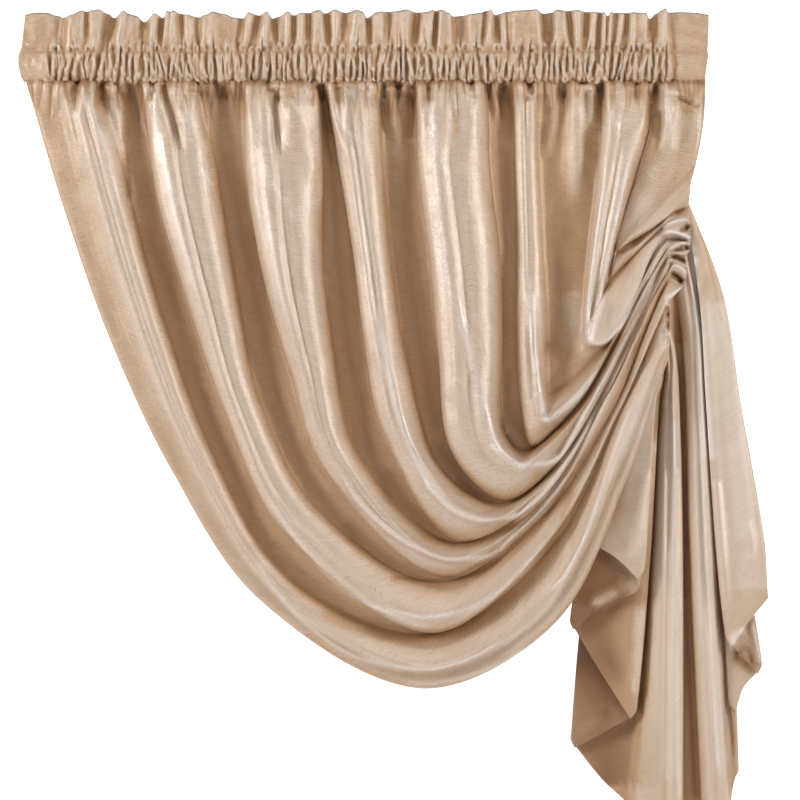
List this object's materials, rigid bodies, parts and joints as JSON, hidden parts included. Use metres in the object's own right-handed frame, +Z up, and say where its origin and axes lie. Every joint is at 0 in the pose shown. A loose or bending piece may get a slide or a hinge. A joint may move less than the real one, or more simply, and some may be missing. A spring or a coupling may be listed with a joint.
{
  "type": "one-sided swag curtain with cascade tail",
  "caption": "Champagne faux-silk curtain swag on a frilled rod pocket, its folds swept up to a shirred side seam from which a pleated cascade tail hangs.",
  "frame": {"origin": "middle of the rod pocket, halfway along the heading, where a rod would hold the curtain", "axes": "+X to the right seen from the room, along the rod; +Z up; the face side looks towards -Y"},
  "size_m": [1.1241, 0.0777, 1.2459],
  "materials": {
    "champagne_heading": "slubbed faux silk, soft satin sheen, ruched",
    "champagne_cloth": "slubbed faux silk, soft satin sheen",
    "champagne_tail": "slubbed faux silk, soft satin sheen, matter on the wrong side"
  },
  "bodies": {
    "root": {"heading": "champagne_heading", "swag_panel": "champagne_cloth", "cascade_tail": "champagne_tail"}
  },
  "joints": []
}
